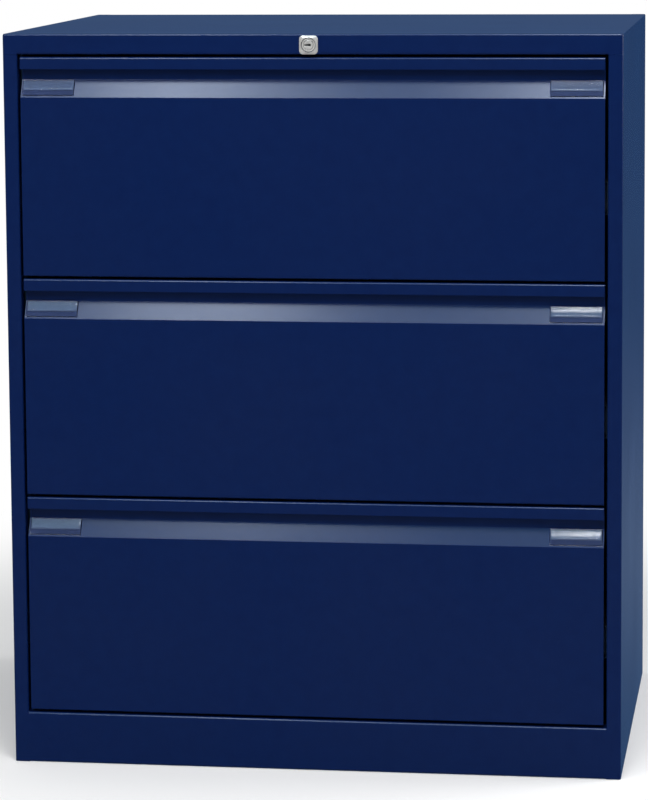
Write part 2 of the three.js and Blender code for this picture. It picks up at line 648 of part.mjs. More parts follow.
// Lock bar: a channel open to the back, with a cross slot for the crank's pin and a finger for each drawer.
// A finger passes under the catch's lip and turns up in front of it.
function lockBar() {
  const mid = LOCK_SHEET / 2;
  const edge = BAR_WIDTH / 2 - mid;
  const section = foldedSheet([
    [BAR_CENTRE - edge, BAR_BACK],
    [BAR_CENTRE - edge, BAR_FACE + mid],
    [BAR_CENTRE + edge, BAR_FACE + mid],
    [BAR_CENTRE + edge, BAR_BACK],
  ], LOCK_SHEET, LOCK_SHEET);
  let channel = extrude(section, 'z', BAR_BOTTOM, BAR_TOP);
  const reach = PIN_RADIUS + RUNNING + (CRANK_RADIUS - CRANK_RADIUS * Math.cos(CRANK_SWING / 2)) / 2;
  const rise = PIN_RADIUS + RUNNING;
  const slot = [BAR_CENTRE - reach, BAR_CENTRE + reach, BAR_FACE - 1, BAR_FACE + LOCK_SHEET + 1];
  channel = channel.subtract(block(...slot, PIN_REST - rise, PIN_REST + rise));
  const across = [BAR_CENTRE - FINGER_WIDTH / 2, BAR_CENTRE + FINGER_WIDTH / 2];
  const tipBack = FRONT + CATCH_FACE + CATCH_REACH - LOCK_SHEET - FINGER_REST_GAP - FINGER_THICKNESS;
  const tip = [tipBack - FINGER_THICKNESS, tipBack];
  for (let k = 0; k < DRAWER_COUNT; k += 1) {
    const tipTop = drawerBottom(k) + CATCH_TOP - CATCH_LIP - FINGER_REST_GAP;
    const shelf = tipTop - BAR_LIFT + FINGER_THICKNESS;
    const base = shelf - FINGER_THICKNESS;
    channel = channel.add(block(...across, tip[0], BAR_FACE + mid, base, shelf));
    channel = channel.add(block(...across, ...tip, base, tipTop));
  }
  return channel;
}

// Guide on the back panel: a hat section round the lock bar, with a floor if the bar comes to rest on it.
function barGuide(bottom, withFloor) {
  const mid = LOCK_SHEET / 2;
  const wall = BACK_FACE - CASE_SHEET - SEAT - mid;
  const face = BAR_FACE - RUNNING - mid;
  const edge = BAR_WIDTH / 2 + RUNNING + mid;
  const section = foldedSheet([
    [BAR_CENTRE - edge - GUIDE_FLANGE, wall],
    [BAR_CENTRE - edge, wall],
    [BAR_CENTRE - edge, face],
    [BAR_CENTRE + edge, face],
    [BAR_CENTRE + edge, wall],
    [BAR_CENTRE + edge + GUIDE_FLANGE, wall],
  ], LOCK_SHEET, LOCK_SHEET / 2);
  const guide = extrude(section, 'z', bottom, bottom + GUIDE_HEIGHT);
  if (!withFloor) return guide;
  return guide.add(block(BAR_CENTRE - edge, BAR_CENTRE + edge, face, wall, bottom, bottom + LOCK_SHEET));
}

// Levelling foot: a chamfered pad on a stud, turned about its own axis.
function levellingFoot() {
  const chamfer = FOOT_HEIGHT / 4;
  const profile = [
    new THREE.Vector2(0, FOOT_LIFT),
    new THREE.Vector2(FOOT_RADIUS - chamfer, FOOT_LIFT),
    new THREE.Vector2(FOOT_RADIUS, FOOT_LIFT + chamfer),
    new THREE.Vector2(FOOT_RADIUS, FOOT_LIFT + FOOT_HEIGHT - chamfer),
    new THREE.Vector2(FOOT_RADIUS - chamfer, FOOT_LIFT + FOOT_HEIGHT),
    new THREE.Vector2(STUD_RADIUS, FOOT_LIFT + FOOT_HEIGHT),
    new THREE.Vector2(STUD_RADIUS, STUD_TOP - 1),
    new THREE.Vector2(STUD_RADIUS - 1, STUD_TOP),
    new THREE.Vector2(0, STUD_TOP),
  ];
  const geometry = new THREE.LatheGeometry(profile, 16);
  geometry.rotateX(Math.PI / 2);
  return solidOf(geometry);
}

const cabinet = new THREE.Group();
cabinet.name = 'lateral_filing_cabinet';
const SIDES = [['left', -1], ['right', 1]];
const DRAWER_NAMES = ['upper', 'middle', 'lower'];

const sideSolid = sidePanel();
const frontPost = runnerPost(FRONT_POST);
const rearPost = runnerPost(REAR_POST);
cabinet.add(piece('top_panel', topPanel(), paint()));
for (const [side, sign] of SIDES) {
  cabinet.add(onSide(piece(`${side}_side_panel`, sideSolid, paint()), sign));
  cabinet.add(onSide(piece(`${side}_front_post`, frontPost, zinc()), sign));
  cabinet.add(onSide(piece(`${side}_rear_post`, rearPost, zinc()), sign));
}
cabinet.add(piece('back_panel', backPanel(), paint()));
cabinet.add(piece('base_pan', basePan(), paint()));
cabinet.add(piece('plinth', plinth(), paint()));

const lock = new THREE.Group();
lock.name = 'lock';
lock.add(piece('lock_bezel', lockBezel(), chrome()));
lock.add(piece('lock_barrel', lockBarrel(), chrome()));
lock.add(piece('lock_nut', lockNut(), zinc()));
lock.add(piece('lock_plug', lockPlug(), chrome()));
lock.add(piece('lock_rod', lockRod(), zinc()));
lock.add(piece('rod_bracket', rodBracket(), zinc()));
lock.add(piece('lock_bar', lockBar(), zinc()));
const lowerGuide = barGuide(BAR_BOTTOM - SEAT - LOCK_SHEET, true);
const upperGuide = barGuide(drawerBottom(0) + CATCH_TOP + GUIDE_HEIGHT * 2, false);
lock.add(piece('lower_bar_guide', lowerGuide, zinc()));
lock.add(piece('upper_bar_guide', upperGuide, zinc()));
cabinet.add(lock);

const frontSolid = drawerFront();
const bodySolid = drawerBody();
const railSolid = centreRail();
const labelSolid = labelHolder();
const catchSolid = lockCatch();
const cabinetMember = cabinetChannel();
const middleMember = middleChannel();
const drawerMember = drawerChannel();
const alongSlant = LABEL_FOOT_GAP;
const offSlant = DRAWER_SHEET / 2 + SEAT;
const labelY = DRAWER_SHEET / 2 + alongSlant * Math.sin(SLANT_ANGLE) - offSlant * Math.cos(SLANT_ANGLE);
const labelZ = SLANT_BOTTOM + alongSlant * Math.cos(SLANT_ANGLE) + offSlant * Math.sin(SLANT_ANGLE);

DRAWER_NAMES.forEach((name, k) => {
  const drawer = new THREE.Group();
  drawer.name = `${name}_drawer`;
  drawer.position.set(0, FRONT, drawerBottom(k));
  drawer.add(piece(`${name}_drawer_front`, frontSolid, paint()));
  drawer.add(piece(`${name}_drawer_body`, bodySolid, paint()));
  drawer.add(piece(`${name}_centre_rail`, railSolid, zinc()));
  drawer.add(piece(`${name}_lock_catch`, catchSolid, zinc()));
  for (const [side, sign] of SIDES) {
    const label = piece(`${name}_label_holder_${side}`, labelSolid, clear());
    label.position.set(sign * (FRONT_HALF - LABEL_END_GAP - LABEL_WIDTH / 2), labelY, labelZ);
    label.rotation.x = -SLANT_ANGLE;
    drawer.add(label);
    const members = [['cabinet', cabinetMember], ['middle', middleMember], ['drawer', drawerMember]];
    for (const [member, solid] of members) {
      const channel = onSide(piece(`${name}_${member}_runner_${side}`, solid, zinc()), sign);
      channel.position.set(sign * RUNNER_FACE, RUNNER_SETBACK, RUNNER_CENTRE);
      drawer.add(channel);
    }
  }
  cabinet.add(drawer);
});

const footSolid = levellingFoot();
for (const [end, y] of [['front', -FOOT_Y], ['rear', FOOT_Y]]) {
  for (const [side, sign] of SIDES) {
    const foot = piece(`${end}_${side}_levelling_foot`, footSolid, nylon());
    foot.position.set(sign * FOOT_X, y, 0);
    cabinet.add(foot);
  }
}

export default cabinet;
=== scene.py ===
import math

import bpy
import numpy as np
from mathutils import Euler, Matrix, Vector


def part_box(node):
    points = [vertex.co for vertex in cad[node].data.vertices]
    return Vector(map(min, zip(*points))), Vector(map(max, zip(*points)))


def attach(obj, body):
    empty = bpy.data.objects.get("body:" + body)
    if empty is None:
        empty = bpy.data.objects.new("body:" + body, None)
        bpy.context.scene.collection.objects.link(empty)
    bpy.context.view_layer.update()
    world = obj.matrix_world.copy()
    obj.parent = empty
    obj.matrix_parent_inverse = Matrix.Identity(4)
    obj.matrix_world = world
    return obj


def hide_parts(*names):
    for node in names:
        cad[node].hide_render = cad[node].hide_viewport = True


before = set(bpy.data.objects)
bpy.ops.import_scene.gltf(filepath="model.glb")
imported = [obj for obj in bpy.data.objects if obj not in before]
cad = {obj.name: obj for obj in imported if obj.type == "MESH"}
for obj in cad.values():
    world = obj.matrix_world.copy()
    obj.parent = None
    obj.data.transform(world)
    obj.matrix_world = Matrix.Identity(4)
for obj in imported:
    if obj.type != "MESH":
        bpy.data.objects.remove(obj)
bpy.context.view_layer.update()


# Side panels. Each is one sheet of 1 mm steel folded into rear flange, wall, stile, stile return and lip,
# and stoved in deep navy after welding. The return is notched away beside the plinth, to which the stile is
# welded, and the stile stops under the header.
SHEET = 0.001
FOLD = 0.002
FOLD_STEPS = 8
FLAT_GUARD = 0.0004
WALL_GUARD = 0.0001
HAIRLINE = 0.00001
SAME_POINT = 0.000001
SHARP_ANGLE = math.radians(32)
REAR_FLANGE = 0.015
STILE_RETURN = 0.022
STILE_LIP = 0.008
FOOT_FLANGE = 0.016
HEADER_SEAT = 0.0002
CORNER = FOLD + SHEET
EAVE = 0.002
NOISE_BAND = (0.3, 0.7)

case_low, case_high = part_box("right_side_panel")
stile_edge, front, floor_level = case_low
half_width, back, _ = case_high
header_bottom, case_top = (corner.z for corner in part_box("top_panel"))
plinth_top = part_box("plinth")[1].z


def fold_line(corners, inside, thickness, guard=FLAT_GUARD):
    """Middle line of a folded sheet in the plane of its section, and its unit normals.

    Each corner becomes an arc of the inside radius plus half the thickness: its centre lies that far to the
    side of the run that leads in, and its points are the centre less the turned normal times the radius.
    A guard point on the flat at each end of an arc keeps the flat's shading flat. Where a fold has no flat
    beside it, the points that fall together are taken as one."""
    corner = np.asarray(corners, float)
    run = np.diff(corner, axis=0)
    run /= np.linalg.norm(run, axis=1, keepdims=True)
    left = np.stack([-run[:, 1], run[:, 0]], 1)
    into, outof = run[:-1], run[1:]
    turn = np.arctan2(into[:, 0] * outof[:, 1] - into[:, 1] * outof[:, 0], (into * outof).sum(1))
    radius = (np.broadcast_to(inside, turn.shape) + thickness / 2) * np.sign(turn)
    guard = np.broadcast_to(guard, turn.shape)
    start = corner[1:-1] - into * (radius * np.tan(turn / 2))[:, None]
    centre = start + left[:-1] * radius[:, None]
    share = np.concatenate([[0], np.linspace(0, 1, FOLD_STEPS + 1), [1]])
    angle = turn[:, None] * share
    cosine, sine = np.cos(angle), np.sin(angle)
    nx, ny = left[:-1, 0, None], left[:-1, 1, None]
    normal = np.stack([cosine * nx - sine * ny, sine * nx + cosine * ny], -1)
    along = np.stack([normal[..., 1], -normal[..., 0]], -1)
    slide = np.zeros_like(angle)
    slide[:, 0], slide[:, -1] = -guard, guard
    arc = centre[:, None] - normal * radius[:, None, None] + along * slide[..., None]
    line = np.concatenate([corner[:1], arc.reshape(-1, 2), corner[-1:]])
    normals = np.concatenate([left[:1], normal.reshape(-1, 2), left[-1:]])
    apart = np.linalg.norm(np.diff(line, axis=0), axis=1) > SAME_POINT
    distinct = np.concatenate([[True], apart])
    return line[distinct], normals[distinct]


def carried(face, axis, stations):
    """A face of a section, points (u, v), repeated at each station along an axis: a grid of points."""
    u, v = face[:, None, 0], face[:, None, 1]
    s = np.asarray(stations, float)[None, :]
    order = {"x": (s, u, v), "y": (u, s, v), "z": (u, v, s)}[axis]
    return np.stack(np.broadcast_arrays(*order), -1)


def slab(outer, inner, kept=None):
    """Closed sheet between two grids of one size: the quads of the outer grid, or those that are kept, those
    of the inner grid turned over, and a strip that joins the two along every edge that only one quad has."""
    rows, columns = outer.shape[:2]
    count = rows * columns
    number = np.arange(count).reshape(rows, columns)
    quads = np.stack([number[:-1, :-1], number[1:, :-1], number[1:, 1:], number[:-1, 1:]], -1)
    quads = quads.reshape(-1, 4) if kept is None else quads[kept]
    start, end = quads.ravel(), np.roll(quads, -1, 1).ravel()
    single = ~np.isin(end * count + start, start * count + end)
    start, end = start[single], end[single]
    rim = np.stack([end, start, start + count, end + count], -1)
    points = np.concatenate([outer.reshape(-1, 3), inner.reshape(-1, 3)])
    used, faces = np.unique(np.concatenate([quads, quads[:, ::-1] + count, rim]), return_inverse=True)
    return points[used], [faces.reshape(-1, 4)]


def folded(corners, inside, thickness, axis, stations, guard=FLAT_GUARD, kept=None):
    """Folded sheet of a section, carried along an axis: its faces lie half a thickness to each side."""
    line, normal = fold_line(corners, inside, thickness, guard)
    half = normal * thickness / 2
    return slab(carried(line + half, axis, stations), carried(line - half, axis, stations), kept)


def plate(low, high):
    """Flat plate between two corners, as the sheet between its lowest and its highest face."""
    x, y = np.meshgrid([low[0], high[0]], [low[1], high[1]], indexing="ij")
    faces = [np.stack([x, y, np.full_like(x, level)], -1) for level in (high[2], low[2])]
    return slab(*faces)


def piece(name, parts, material, body, slot, *stands_for):
    """Object of closed parts that rides on a body. Each part is turned so that its volume, a sixth of the
    sum of a . (b x c) over the fans of its faces, is positive."""
    points, faces, start = [], [], 0
    for corners, groups in parts:
        volume = sum(
            np.einsum("ij,ij", corners[g[:, 0]], np.cross(corners[g[:, k]], corners[g[:, k + 1]]))
            for g in groups for k in range(1, g.shape[1] - 1)
        )
        for group in groups:
            faces += ((group if volume > 0 else group[:, ::-1]) + start).tolist()
        points.append(corners)
        start += len(corners)
    mesh = bpy.data.meshes.new(name)
    mesh.from_pydata(np.concatenate(points), [], faces)
    mesh.shade_smooth()
    mesh.set_sharp_from_angle(angle=SHARP_ANGLE)
    mesh.materials.append(material)
    made = bpy.data.objects.new(name, mesh)
    bpy.context.scene.collection.objects.link(made)
    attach(made, body)
    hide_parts(*stands_for)
    return made


def feed(tree, node, inputs):
    """Fills inputs of a node, each with a value or from the socket that feeds it."""
    for key, value in inputs.items():
        if isinstance(value, bpy.types.NodeSocket):
            tree.links.new(value, node.inputs[key])
        else:
            node.inputs[key].default_value = value


def add(tree, kind, inputs=None, **settings):
    """New node of a tree, with its inputs and settings."""
    made = tree.nodes.new("ShaderNode" + kind)
    for key, value in settings.items():
        setattr(made, key, value)
    feed(tree, made, inputs or {})
    return made


def finish_of(name):
    """New node material; gives the material, its node tree, its shader and the place on the object."""
    material = bpy.data.materials.new(name)
    material.use_nodes = True
    tree = material.node_tree
    return material, tree, tree.nodes["Principled BSDF"], add(tree, "TexCoord").outputs["Object"]


def noise(tree, place, scale, detail, roughness=0.5):
    """Level of a noise with a number of grains per metre and of octaves of detail."""
    inputs = {"Vector": place, "Scale": scale, "Detail": detail, "Roughness": roughness}
    return add(tree, "TexNoise", inputs).outputs["Fac"]


def linear(red, green, blue):
    """Linear colour of a screen colour from 0 to 255, by the sRGB curve."""
    c = np.array([red, green, blue]) / 255
    return (*np.where(c <= 0.04045, c / 12.92, ((c + 0.055) / 1.055) ** 2.4), 1.0)


def two_tones(tree, level, dark, light, band=NOISE_BAND):
    """Colour that goes from a dark to a light screen colour while a level goes through a band."""
    ramp = add(tree, "ValToRGB", {"Fac": level})
    for stop, position, colour in zip(ramp.color_ramp.elements, band, (dark, light)):
        stop.position = position
        stop.color = linear(*colour)
    return ramp.outputs["Color"]


def between(tree, level, low, high, band=NOISE_BAND):
    """Value that goes from low to high while a level goes through a band."""
    inputs = {"Value": level, "From Min": band[0], "From Max": band[1], "To Min": low, "To Max": high}
    return add(tree, "MapRange", inputs).outputs["Result"]


def bump(tree, height, strength, distance, under=None):
    """Normal of a surface with bumps, over another normal where there is one."""
    inputs = {"Height": height, "Strength": strength, "Distance": distance}
    if under is not None:
        inputs["Normal"] = under
    return add(tree, "Bump", inputs).outputs["Normal"]


def navy_enamel():
    """Stoved enamel: a mottled navy, a gloss that varies slowly, a fine orange peel, and the long level
    waves that rolled sheet keeps under its paint."""
    material, tree, shader, place = finish_of("navy_enamel")
    mottle = noise(tree, place, 55.0, 5.0, 0.6)
    cloud = noise(tree, place, 4.0, 3.0)
    level = add(tree, "Mapping", {"Vector": place, "Scale": (1.5, 1.5, 60.0)}).outputs["Vector"]
    wavy = bump(tree, noise(tree, level, 1.0, 2.0), 0.25, 0.0004)
    feed(tree, shader, {
        "Base Color": two_tones(tree, mottle, (5, 24, 68), (6, 27, 72)),
        "Roughness": between(tree, cloud, 0.21, 0.26),
        "Specular Tint": (0.78, 0.86, 1.0, 1.0),
        "Normal": bump(tree, noise(tree, place, 620.0, 2.0), 0.08, 0.0003, wavy),
    })
    return material


enamel = navy_enamel()

side_line = [(half_width - REAR_FLANGE, back - SHEET / 2), (half_width - SHEET / 2, back - SHEET / 2),
             (half_width - SHEET / 2, front + SHEET / 2), (stile_edge + SHEET / 2, front + SHEET / 2),
             (stile_edge + SHEET / 2, front + STILE_RETURN), (stile_edge + STILE_LIP, front + STILE_RETURN)]
side_guards = [FLAT_GUARD, WALL_GUARD, FLAT_GUARD, FLAT_GUARD]
side_heights = [floor_level, plinth_top, header_bottom - HEADER_SEAT, case_top - EAVE - SHEET]
# A fold has the points of its arc and two guards. Of the section's segments, those up to the return stand
# beside the plinth, all of them beside the drawers, and those up to the stile beside the header.
fold_points = FOLD_STEPS + 3
stile_from, return_from = 1 + fold_points, 1 + 2 * fold_points
segments = np.arange(len(side_guards) * fold_points + 1)[:, None]
side_kept = segments < [return_from, len(segments), stile_from]
tongue_end = stile_edge + CORNER + FLAT_GUARD - HAIRLINE
flange_ends = front + STILE_RETURN + FOOT_FLANGE, back - FOOT_FLANGE
right_panel = [
    folded(side_line, FOLD, SHEET, "z", side_heights, side_guards, side_kept),
    plate((stile_edge, front, floor_level), (tongue_end, front + SHEET, plinth_top - HAIRLINE)),
    plate((half_width - FOOT_FLANGE, flange_ends[0], floor_level),
          (half_width - SHEET / 2, flange_ends[1], floor_level + SHEET)),
]
for side, sign in (("left", -1), ("right", 1)):
    panel = [(points * (sign, 1, 1), faces) for points, faces in right_panel]
    piece(f"{side}_wall_and_stile", panel, enamel, "case", "paint", f"{side}_side_panel")


# Plinth. A strip of the same sheet welded flush between the stiles, with a shelf folded back at the top and
# a foot flange at the floor; its top fold catches the light as one bright line.
PLINTH_RETURN = 0.024
PLINTH_LIP = 0.010
PLINTH_FOOT = 0.018
PLINTH_FOLD = 0.0034

plinth_line = [(front + PLINTH_RETURN - SHEET / 2, plinth_top - PLINTH_LIP),
               (front + PLINTH_RETURN - SHEET / 2, plinth_top - SHEET / 2),
               (front + SHEET / 2, plinth_top - SHEET / 2), (front + SHEET / 2, floor_level + SHEET / 2),
               (front + PLINTH_FOOT, floor_level + SHEET / 2)]
plinth_folds = [FOLD, PLINTH_FOLD, FOLD]
piece("plinth_front", [folded(plinth_line, plinth_folds, SHEET, "x", [-stile_edge, stile_edge])], enamel,
      "case", "paint", "plinth")


# Base pan and back panel. Pressed sheets welded between the sides and painted with the rest of the case. The
# back has a flange turned in at its top and its bottom, bent tightly enough to clear the lifted lock bar.
BACK_FOLD = 0.0012

cad["base_pan"].material_slots[0].material = enamel
back_low, back_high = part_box("back_panel")
back_line = [(back_low.y, back_high.z - SHEET / 2), (back_high.y - SHEET / 2, back_high.z - SHEET / 2),
             (back_high.y - SHEET / 2, back_low.z + SHEET / 2), (back_low.y, back_low.z + SHEET / 2)]
piece("back_sheet", [folded(back_line, BACK_FOLD, SHEET, "x", [back_low.x, back_high.x])], enamel, "case",
      "paint", "back_panel")


# Levelling feet. Black nylon pads moulded in one with their studs, one near each corner, screwed from below
# into weld nuts of the base pan.
def moulded_nylon():
    """Moulded nylon: near-black, with the fine spark-eroded grain of its mould."""
    material, tree, shader, place = finish_of("moulded_nylon")
    grain = noise(tree, place, 1800.0, 3.0)
    feed(tree, shader, {
        "Base Color": two_tones(tree, grain, (19, 20, 22), (30, 31, 33), (0.0, 1.0)),
        "Roughness": 0.55,
        "Normal": bump(tree, grain, 0.4, 0.0002),
    })
    return material


nylon = moulded_nylon()
for end in ("front", "rear"):
    for side in ("left", "right"):
        cad[f"{end}_{side}_levelling_foot"].material_slots[0].material = nylon


# Runner posts and runners. Zinc-plated steel: hat sections spot-welded to the side walls, slotted for the
# telescopic runners that hook and screw on to them.
DRAWERS = ("upper", "middle", "lower")
ACROSS_LINES, ALONG_LINES = 900.0, 12.0


def bright_zinc(name, lengthwise):
    """Zinc plate over rolled steel: cool grey with faint rolling lines along `lengthwise`, the axis number,
    and a cloudy gloss."""
    material, tree, shader, place = finish_of(name)
    stretch = [ACROSS_LINES] * 3
    stretch[lengthwise] = ALONG_LINES
    drawn = add(tree, "Mapping", {"Vector": place, "Scale": stretch}).outputs["Vector"]
    lines = noise(tree, drawn, 1.0, 3.0)
    cloud = noise(tree, place, 30.0, 4.0)
    feed(tree, shader, {
        "Base Color": two_tones(tree, cloud, (176, 180, 184), (206, 209, 212), (0.25, 0.75)),
        "Metallic": 1.0,
        "Roughness": between(tree, lines, 0.30, 0.46),
        "Normal": bump(tree, lines, 0.10, 0.0002),
    })
    return material


zinc_upright = bright_zinc("zinc_upright", 2)
zinc_lengthwise = bright_zinc("zinc_lengthwise", 1)
for side in ("left", "right"):
    for end in ("front", "rear"):
        cad[f"{side}_{end}_post"].material_slots[0].material = zinc_upright
    for drawer in DRAWERS:
        for member in ("cabinet", "middle", "drawer"):
            cad[f"{drawer}_{member}_runner_{side}"].material_slots[0].material = zinc_lengthwise


# Top panel. One sheet with the header folded down in front and a flange behind, painted with the case.
# Between the stiles the header turns in; over them it stands flush on their ends, with its corners and eaves
# rounded off.
HEADER_RETURN = 0.014
EDGE_STEPS = 8
EAVE_REACH = 0.999

header_line = [(front + HEADER_RETURN, header_bottom + SHEET / 2),
               (front + SHEET / 2, header_bottom + SHEET / 2),
               (front + SHEET / 2, case_top - SHEET / 2), (back - SHEET / 2, case_top - SHEET / 2),
               (back - SHEET / 2, case_top - REAR_FLANGE)]
end_line = [(front + SHEET / 2, header_bottom), (front + SHEET / 2, case_top - SHEET / 2),
            (back, case_top - SHEET / 2)]


def rounded_off(grid):
    """Rounds an end of the top panel. Near the end a point of the front goes back, and one of the rear goes
    forward, by r - sqrt(r^2 - d^2) for the corner's radius r and its distance d past the corner's centre; a
    point of the top goes down by the same rule with the eave's radius, in step with its height on the fold.
    The eave stops just short of a quarter turn, so that the sheet keeps an edge there."""
    x, y, z = np.moveaxis(grid, -1, 0)
    past_corner = np.clip(np.abs(x) - (half_width - CORNER), 0, CORNER)
    past_eave = np.clip(np.abs(x) - (half_width - EAVE), 0, EAVE * EAVE_REACH)
    inset = CORNER - np.sqrt(CORNER ** 2 - past_corner ** 2)
    drop = EAVE - np.sqrt(EAVE ** 2 - past_eave ** 2)
    raised = np.clip((z - (case_top - CORNER)) / (CORNER - SHEET), 0, 1)
    return np.stack([x, y + np.where(y < 0, inset, -inset), z - drop * raised], -1)


bend_share = np.sin(np.linspace(0, np.pi / 2, EDGE_STEPS + 1))
end_stations = np.concatenate([[stile_edge + HAIRLINE, half_width - CORNER - FLAT_GUARD],
                               half_width - CORNER + CORNER * bend_share])
line, normal = fold_line(end_line, FOLD, SHEET)
end_faces = [rounded_off(carried(line + s * normal * SHEET / 2, "x", end_stations)) for s in (1, -1)]
right_end = slab(*end_faces)
left_end = right_end[0] * (-1, 1, 1), right_end[1]
header = folded(header_line, FOLD, SHEET, "x", [-stile_edge, stile_edge])
piece("top_and_header", [header, left_end, right_end], enamel, "case", "paint", "top_panel")


# Lock. A die-cast, nickel-plated cylinder lock: a cushion-shaped square bezel, the barrel's rim inside it,
# and the key plug with its level keyway and steel wafers; a ring nut behind the header holds the barrel.
ROUND_STEPS = 64
EDGE_POINTS = 7
BEZEL_CORNER = 0.005
BEZEL_EDGE = 0.0012
BEZEL_CROWN = 0.0011
CUSHION_ROWS = 11
BORE_GAP = 0.0009
RIM_ROUND = 0.0005
RIM_POINTS = 9
PLUG_GAP = 0.0005
PLUG_EDGE = 0.0006
PLUG_FACE = (0.02, 0.5, 0.96)
KEYWAY_WIDTH = 0.0092
KEYWAY_HEIGHT = 0.0026
KEYWAY_SHIFT = -0.0011
KEYWAY_SWELL = 0.34
KEYWAY_TAPER = 0.1 * KEYWAY_WIDTH
KEYWAY_BREAK = 0.0001
KEYWAY_DEPTH = 0.012
WAFER_COUNT = 5
WAFER_FROM = 0.0009
WAFER_PITCH = 0.0021
WAFER_THICKNESS = 0.0017
WAFER_FIT = (0.985, 0.94)

bezel_low, bezel_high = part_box("lock_bezel")
barrel_low, barrel_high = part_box("lock_barrel")
plug_low, plug_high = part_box("lock_plug")
lock_x, lock_z = (bezel_low.x + bezel_high.x) / 2, (bezel_low.z + bezel_high.z) / 2
bezel_half = (bezel_high.x - bezel_low.x) / 2
barrel_radius = (barrel_high.z - barrel_low.z) / 2
plug_radius = (plug_high.z - plug_low.z) / 2


def satin_nickel():
    """Nickel plate over a die casting: pale warm metal with a cloudy gloss."""
    material, tree, shader, place = finish_of("satin_nickel")
    cloud = noise(tree, place, 110.0, 2.0)
    feed(tree, shader, {
        "Base Color": two_tones(tree, cloud, (206, 204, 200), (224, 222, 218)),
        "Metallic": 0.5,
        "Roughness": between(tree, cloud, 0.20, 0.27),
    })
    return material


def oiled_steel():
    """Hardened steel under old oil: near-black, with a patchy tone and little gloss."""
    material, tree, shader, place = finish_of("oiled_steel")
    patch = noise(tree, place, 700.0, 3.0)
    feed(tree, shader, {
        "Base Color": two_tones(tree, patch, (8, 8, 9), (20, 20, 22), (0.0, 1.0)),
        "Roughness": 0.6,
    })
    return material


def rounded_square(half, corner):
    """Outline of a square with rounded corners: along one side at the half width, then round its corner by
    the radius times the cosine and sine of the angle, and the same again turned by each further quarter."""
    share = np.arange(ROUND_STEPS // 8) / (ROUND_STEPS // 8)
    straight = half - corner
    angle = share * np.pi / 2
    side = np.stack([np.concatenate([np.full_like(share, half), straight + corner * np.cos(angle)]),
                     np.concatenate([straight * (2 * share - 1), straight + corner * np.sin(angle)])], -1)
    quarter = np.arange(4)[:, None] * np.pi / 2
    return np.stack([np.cos(quarter) * side[:, 0] - np.sin(quarter) * side[:, 1],
                     np.sin(quarter) * side[:, 0] + np.cos(quarter) * side[:, 1]], -1).reshape(-1, 2)


def circle(radius, like=None):
    """Circle with a point in the direction of each point of another outline, or with even steps."""
    angle = (np.arange(ROUND_STEPS) + 0.5) * 2 * np.pi / ROUND_STEPS
    if like is not None:
        angle = np.arctan2(like[:, 1], like[:, 0])
    return radius * np.stack([np.cos(angle), np.sin(angle)], -1)


def on_lock(outlines, depths):
    """Rows of outlines round the lock's axis, each at its own depth: a grid of points."""
    xz = np.stack(outlines)
    y = np.broadcast_to(np.asarray(depths)[:, None], xz.shape[:2])
    return np.stack([lock_x + xz[..., 0], y, lock_z + xz[..., 1]], -1)


def skin(grid, ring=False):
    """Closed surface over rows of closed outlines: quads from each row to the next, round the whole outline,
    and either from the last row back to the first or with a flat face on the first row and on the last."""
    rows, columns = grid.shape[:2]
    number = np.arange(rows * columns).reshape(rows, columns)
    loops = np.concatenate([number, number[:1]]) if ring else number
    here, there = loops[:-1], loops[1:]
    quads = np.stack([here, np.roll(here, -1, 1), np.roll(there, -1, 1), there], -1).reshape(-1, 4)
    faces = [quads] if ring else [quads, number[:1, ::-1], number[-1:]]
    return grid.reshape(-1, 3), faces


nickel = satin_nickel()
edge_turn = np.linspace(0, np.pi / 2, EDGE_POINTS)
edge_in, edge_down = 1 - np.cos(edge_turn), 1 - np.sin(edge_turn)

cushion = np.linspace(0, 1, CUSHION_ROWS + 1)[1:]
brim = rounded_square(bezel_half - BEZEL_EDGE, BEZEL_CORNER - BEZEL_EDGE)
bore = circle(barrel_radius + BORE_GAP, brim)
brim_depth = bezel_low.y + BEZEL_CROWN
bezel_rows = [bore, rounded_square(bezel_half, BEZEL_CORNER)]
bezel_rows += [rounded_square(bezel_half - d, BEZEL_CORNER - d) for d in BEZEL_EDGE * edge_in]
bezel_rows += [brim + (bore - brim) * m for m in cushion]
bezel_depths = np.concatenate([[bezel_high.y] * 2, brim_depth + BEZEL_EDGE * edge_down,
                               brim_depth - BEZEL_CROWN * np.sin(cushion * np.pi / 2)])
piece("lock_cushion_bezel", [skin(on_lock(bezel_rows, bezel_depths), ring=True)], nickel, "case", "chrome",
      "lock_bezel")

bore_radius = plug_radius + PLUG_GAP
rim_turn = np.linspace(0, np.pi, RIM_POINTS)
rim_middle, rim_half = (barrel_radius + bore_radius) / 2, (barrel_radius - bore_radius) / 2
rim_radii = rim_middle + rim_half * np.sign(np.cos(rim_turn)) * np.abs(np.cos(rim_turn)) ** 0.5
rim_depths = barrel_low.y + RIM_ROUND * (1 - np.abs(np.sin(rim_turn)) ** 0.5)
barrel_radii = np.concatenate([[bore_radius, barrel_radius], rim_radii])
barrel_depths = np.concatenate([[barrel_high.y] * 2, rim_depths])
barrel_rows = [circle(r) for r in barrel_radii]
piece("lock_barrel_rim", [skin(on_lock(barrel_rows, barrel_depths), ring=True)], nickel, "case", "chrome",
      "lock_barrel")

